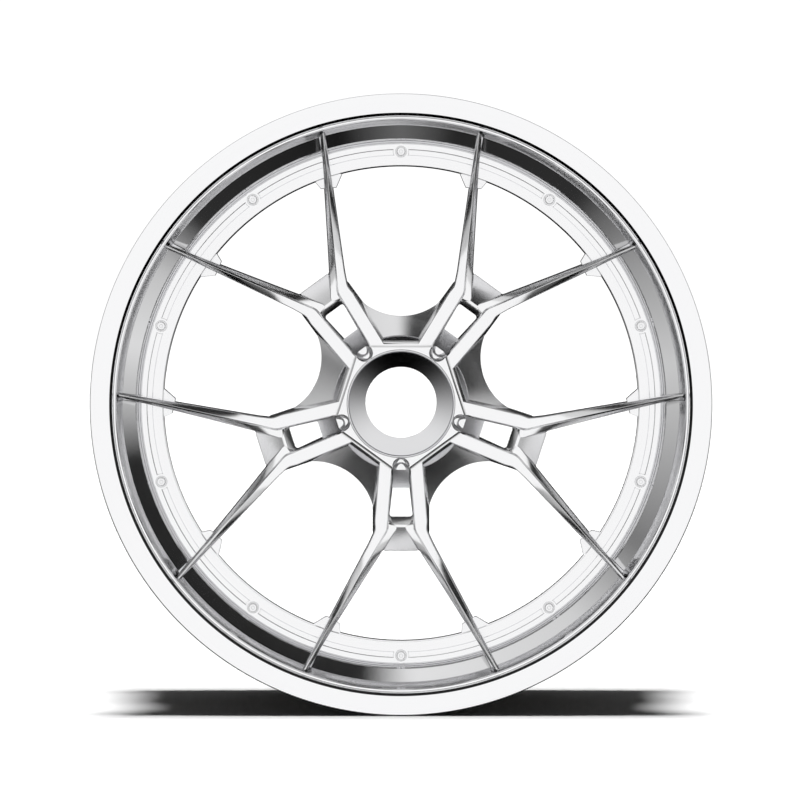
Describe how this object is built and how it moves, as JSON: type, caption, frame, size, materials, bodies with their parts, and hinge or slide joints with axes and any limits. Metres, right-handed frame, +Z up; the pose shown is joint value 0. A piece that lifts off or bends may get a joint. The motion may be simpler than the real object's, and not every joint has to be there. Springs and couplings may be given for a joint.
{
  "type": "forged racing wheel rim",
  "caption": "Bolted racing wheel rim: step lip, barrel and forged centre with Y-shaped twin spokes, open conical centre bore, drive pin bushes and tyre valve.",
  "frame": {"origin": "centre of the hub bore at the hub mounting face", "axes": "+Y along the wheel's axle towards the car, -Y towards the visible face, +Z up with one spoke pointing straight down, +X to the right seen from the front"},
  "size_m": [0.543, 0.2664, 0.543],
  "materials": {
    "lip_polish": "mirror polished",
    "barrel_bright": "brushed and clear coated",
    "forged_centre": "polished",
    "seat_anodised": "hard anodised",
    "bolt_steel": "bright steel",
    "bush_steel": "hardened",
    "rubber_black": "matte",
    "valve_metal": "turned",
    "valve_brass": "turned",
    "gasket_red": "matte",
    "cap_plastic": "moulded"
  },
  "bodies": {
    "rim": {"outer_lip": "lip_polish", "inner_barrel": "barrel_bright", "centre_hub": "forged_centre", "centre_arms": "forged_centre", "centre_ring": "forged_centre", "rim_seal_ring": "rubber_black", "assembly_bolts": "bolt_steel", "bolt_washers": "bolt_steel", "nut_washers": "bolt_steel", "lock_nuts": "bolt_steel", "centre_nut_seat": "seat_anodised", "drive_pin_bushes": "bush_steel", "bush_retaining_rings": "bush_steel", "valve_stem": "valve_metal", "valve_inner_seal": "rubber_black", "valve_outer_seal": "rubber_black", "valve_washer": "valve_metal", "valve_nut": "valve_metal", "valve_core_body": "valve_brass", "valve_core_gasket": "gasket_red", "valve_core_spring": "bolt_steel"},
    "core_pin": {"valve_core_pin": "valve_brass", "valve_pin_seal": "rubber_black"},
    "cap": {"valve_cap": "cap_plastic", "valve_cap_seal": "rubber_black"}
  },
  "joints": [
    {"name": "core_pin_push", "type": "slide", "parent": "rim", "child": "core_pin", "axis": [0.8111, 0, -0.585], "range_m": [0, 0.0012], "stiffness_N_per_m": 800, "springref_m": -0.001, "deforming": ["valve_core_spring"]},
    {"name": "cap_lift", "type": "slide", "parent": "rim", "child": "cap", "axis": [-0.8111, 0, 0.585], "range_m": [0, 0.014]}
  ]
}
